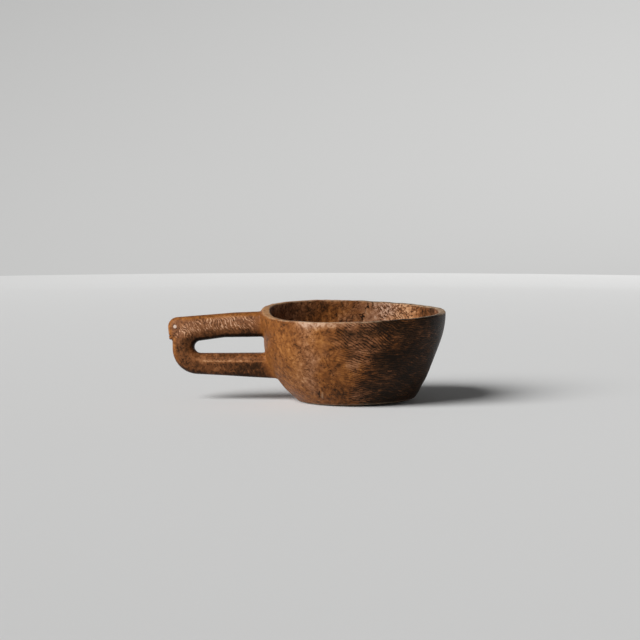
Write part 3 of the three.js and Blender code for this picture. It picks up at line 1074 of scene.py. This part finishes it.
def burl_wood():
    """Oiled, darkened burl, handled for generations."""
    material = bpy.data.materials.new("burl_wood")
    material.use_nodes = True
    graph = Graph(material)
    at = wood_places(graph)

    outside, lines, outside_dots = outside_tone(graph, at.place, at.x, at.z)
    inside, worms, pale = hollow_tone(graph, at.place, at.x, at.y, at.z)
    grip, marks, grip_dots = handle_tone(graph, at.place)
    tone = graph.blend(at.handle, outside, grip)
    tone = painted_light_and_wear(graph, at, graph.blend(at.hollow, tone, inside))
    orange, purple = graph.colours(tone, ORANGE_WOOD), graph.colours(tone, PURPLE_WOOD)
    wood = worn_places(graph, at, graph.mix(purple_share(graph, at, pale), orange, purple))

    dots = graph.total(outside_dots, grip_dots)
    polish = graph.noise(at.place, 34, detail=3.0)
    rough = graph.total(
        BASE_ROUGHNESS,
        graph.product(polish, 0.24),
        graph.product(dots, 0.15),
        graph.product(at.hollow, 0.10),
    )
    relief = wood_relief(graph, at.place, graph.total(lines, worms), marks, dots)

    shader = material.node_tree.nodes["Principled BSDF"]
    shader.inputs["Specular IOR Level"].default_value = SPECULAR_LEVEL
    for name, socket in (("Base Color", wood), ("Roughness", rough), ("Normal", relief)):
        material.node_tree.links.new(socket, shader.inputs[name])
    return material


# ---- Studio, in metres ----
CAMERA_PLACE = (-0.054, -2.638, 0.3215)
CAMERA_DOWN = 4.4  # degrees below level
LENS, SENSOR_WIDTH = 100.7, 36  # millimetres
NEAREST_SEEN = 0.05
WINDOW_DIRECTION = (-0.80, -0.60, 0.74)  # where the light comes from
WINDOW_STRENGTH = 4.3
WINDOW_SPREAD = 40  # degrees
FILL_STRENGTH = 0.07
COVE_RADIUS = 2.8  # of the flat floor
COVE_CURVE = 1.2  # radius of the curve up into the wall
COVE_RINGS = 12
COVE_STEPS = 96
WALL_START_HEIGHT = 0.02
FLOOR_COLOUR = (0.66, 0.66, 0.655)
WALL_COLOUR = (0.2, 0.2, 0.198)
WALL_GLOW_COLOUR = (1, 1, 0.99, 1)
WALL_GLOW = 0.34
STUDIO_ROUGHNESS = 0.9


def camera():
    data = bpy.data.cameras.new("camera")
    made = bpy.data.objects.new("camera", data)
    bpy.context.scene.collection.objects.link(made)
    made.location = CAMERA_PLACE
    made.rotation_euler = (math.radians(90 - CAMERA_DOWN), 0, 0)
    data.sensor_width = SENSOR_WIDTH
    data.lens = LENS
    data.clip_start = NEAREST_SEEN
    bpy.context.scene.camera = made


def plain_material(name, colour):
    material = bpy.data.materials.new(name)
    material.use_nodes = True
    shader = material.node_tree.nodes["Principled BSDF"]
    shader.inputs["Base Color"].default_value = (*colour, 1)
    shader.inputs["Roughness"].default_value = STUDIO_ROUGHNESS
    return material


def glowing_wall():
    """The wall gives off a little light of its own, so that it is pale from every side."""
    material = plain_material("pale_wall", WALL_COLOUR)
    shader = material.node_tree.nodes["Principled BSDF"]
    shader.inputs["Emission Color"].default_value = WALL_GLOW_COLOUR
    shader.inputs["Emission Strength"].default_value = WALL_GLOW
    return material


def cove_profile():
    """Radius and height, from the flat floor's edge up the curve."""
    angles = np.linspace(0.1, math.pi / 2, COVE_RINGS)
    out = [COVE_RADIUS + COVE_CURVE * math.sin(a) for a in angles]
    up = [COVE_CURVE - COVE_CURVE * math.cos(a) for a in angles]
    return [(COVE_RADIUS, 0.0), *zip(out, up)]


def cove_mesh():
    """A round floor and the wall round it."""
    build = bmesh.new()
    turns = [2 * math.pi * i / COVE_STEPS for i in range(COVE_STEPS)]
    rings = [
        [build.verts.new((radius * math.cos(turn), radius * math.sin(turn), height)) for turn in turns]
        for radius, height in cove_profile()
    ]
    build.faces.new(rings[0])
    for a, b in zip(rings, rings[1:]):
        for i in range(COVE_STEPS):
            following = (i + 1) % COVE_STEPS
            build.faces.new((a[i], b[i], b[following], a[following]))
    mesh = bpy.data.meshes.new("studio_floor")
    build.to_mesh(mesh)
    build.free()
    mesh.shade_smooth()
    return mesh


def studio_floor():
    """A round pale cove: a flat floor that curves up into a wall."""
    mesh = cove_mesh()
    made = bpy.data.objects.new("studio_floor", mesh)
    bpy.context.scene.collection.objects.link(made)
    mesh.materials.append(plain_material("pale_floor", FLOOR_COLOUR))
    mesh.materials.append(glowing_wall())
    for face in mesh.polygons:
        face.material_index = int(face.center.z > WALL_START_HEIGHT)


def studio_light():
    """One broad soft light from the left and the front, as from a tall window, and a little fill."""
    world = bpy.data.worlds.new("studio")
    bpy.context.scene.world = world
    world.use_nodes = True
    background = world.node_tree.nodes["Background"]
    background.inputs["Color"].default_value = (1, 1, 1, 1)
    background.inputs["Strength"].default_value = FILL_STRENGTH
    data = bpy.data.lights.new("window", "SUN")
    data.energy = WINDOW_STRENGTH
    data.angle = math.radians(WINDOW_SPREAD)
    made = bpy.data.objects.new("window", data)
    bpy.context.scene.collection.objects.link(made)
    made.rotation_euler = Vector(WINDOW_DIRECTION).to_track_quat("Z", "Y").to_euler()
    bpy.context.scene.view_settings.view_transform = "Standard"


def carved_scoop():
    """The whole cup: one piece of wood."""
    points, quads = carved_surface()
    piece = mesh_object("carved_scoop", points, quads)
    mark_regions(piece)
    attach(piece, "root")
    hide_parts("bowl", "handle_upper_arm", "handle_end_post", "handle_lower_arm")
    return piece


camera()
studio_floor()
studio_light()
scoop = carved_scoop()
scoop.data.materials.append(burl_wood())
